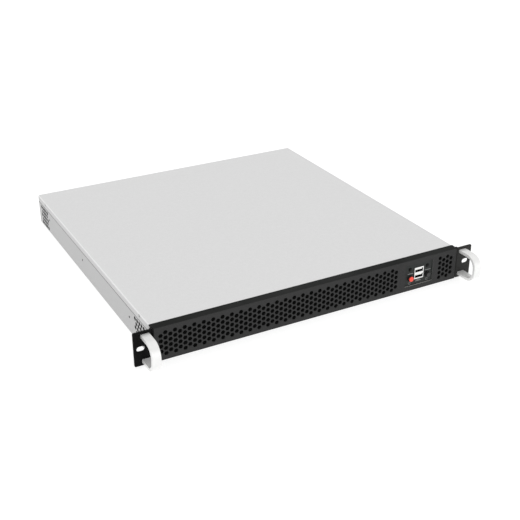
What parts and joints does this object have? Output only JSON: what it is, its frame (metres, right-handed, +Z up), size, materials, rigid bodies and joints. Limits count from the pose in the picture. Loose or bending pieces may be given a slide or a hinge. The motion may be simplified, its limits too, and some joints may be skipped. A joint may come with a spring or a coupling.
{
  "type": "1u rack server",
  "caption": "Rack server chassis, one unit high, with perforated black front, silver handles and cover, screwed rack ears, front USB sockets and push buttons.",
  "frame": {"origin": "midway between the two rack slots, on the rear face of the ears that bears on the rack posts", "axes": "+X to the right seen from the front, +Y into the rack, +Z up"},
  "size_m": [0.4826, 0.4861, 0.044],
  "materials": {
    "black_plastic": "moulded",
    "black_powder_coat": "fine-textured black powder coat",
    "black_screw": "black plated",
    "brass_contact": "plated",
    "brass_spacer": "turned",
    "cast_drive": "cast lid and base",
    "circuit_board": "solder mask",
    "filter_mat": "open mat of black fibre",
    "galvanised_steel": "satin, fine matt grain",
    "grey_plastic": "moulded",
    "nickel_shell": "nickel plated sheet",
    "plated_screw": "nickel plated",
    "raw_aluminium": "extruded",
    "red_plastic": "moulded",
    "satin_aluminium": "satin anodised",
    "smoked_lens": "smoked clear",
    "white_plastic": "moulded"
  },
  "bodies": {
    "chassis": {"base_tray": "galvanised_steel", "board_headers": "white_plastic", "board_screws": "plated_screw", "board_standoffs": "brass_spacer", "chipset_heatsink": "raw_aluminium", "control_board": "circuit_board", "control_bracket": "black_powder_coat", "control_header": "black_plastic", "control_screws": "plated_screw", "control_spacers": "plated_screw", "cover_screws": "plated_screw", "cpu_heatsink": "raw_aluminium", "cpu_socket": "nickel_shell", "disk_led": "smoked_lens", "display_port": "nickel_shell", "drive_bracket": "galvanised_steel", "drive_screws": "plated_screw", "dust_filters": "filter_mat", "ear_screws": "black_screw", "fan_bracket": "galvanised_steel", "fan_frames": "black_plastic", "fan_screws": "plated_screw", "front_bezel": "black_powder_coat", "handle_left": "satin_aluminium", "handle_right": "satin_aluminium", "handle_screws": "plated_screw", "hard_drive": "cast_drive", "heatsink_screws": "plated_screw", "inlet_blades": "brass_contact", "led_clips": "black_plastic", "led_leads": "plated_screw", "memory_modules": "circuit_board", "memory_slots": "black_plastic", "motherboard": "circuit_board", "network_port_left": "nickel_shell", "network_port_right": "nickel_shell", "port_shield": "galvanised_steel", "power_led": "smoked_lens", "power_switch": "black_plastic", "psu_board": "circuit_board", "psu_case": "galvanised_steel", "psu_fan_frame": "black_plastic", "psu_inlet": "black_plastic", "psu_screws": "plated_screw", "rack_ear_left": "black_powder_coat", "rack_ear_right": "black_powder_coat", "reset_switch": "black_plastic", "serial_port": "nickel_shell", "slot_cover": "galvanised_steel", "slot_screw": "plated_screw", "solid_state_drive": "black_plastic", "top_cover": "galvanised_steel", "usb_shell": "nickel_shell", "usb_tongues": "white_plastic"},
    "power_button": {"power_button": "red_plastic"},
    "reset_button": {"reset_button": "grey_plastic"},
    "fan_rotor_1": {"fan_rotor_1": "black_plastic"},
    "fan_rotor_2": {"fan_rotor_2": "black_plastic"},
    "fan_rotor_3": {"fan_rotor_3": "black_plastic"},
    "psu_fan_rotor": {"psu_fan_rotor": "black_plastic"}
  },
  "joints": [
    {"name": "power_button_press", "type": "slide", "parent": "chassis", "child": "power_button", "axis": [0, 1, 0], "range_m": [0, 0.001], "stiffness_N_per_m": 600, "springref_m": -0.0005},
    {"name": "reset_button_press", "type": "slide", "parent": "chassis", "child": "reset_button", "axis": [0, 1, 0], "range_m": [0, 0.001], "stiffness_N_per_m": 600, "springref_m": -0.0005},
    {"name": "fan_1_spin", "type": "hinge", "parent": "chassis", "child": "fan_rotor_1", "pos_m": [-0.064, 0.1652, -0.0005], "axis": [0, 1, 0], "continuous": true},
    {"name": "fan_2_spin", "type": "hinge", "parent": "chassis", "child": "fan_rotor_2", "pos_m": [0.011, 0.1652, -0.0005], "axis": [0, 1, 0], "continuous": true},
    {"name": "fan_3_spin", "type": "hinge", "parent": "chassis", "child": "fan_rotor_3", "pos_m": [0.086, 0.1652, -0.0005], "axis": [0, 1, 0], "continuous": true},
    {"name": "psu_fan_spin", "type": "hinge", "parent": "chassis", "child": "psu_fan_rotor", "pos_m": [0.1523, 0.4357, -0.00055], "axis": [0, 1, 0], "continuous": true}
  ]
}
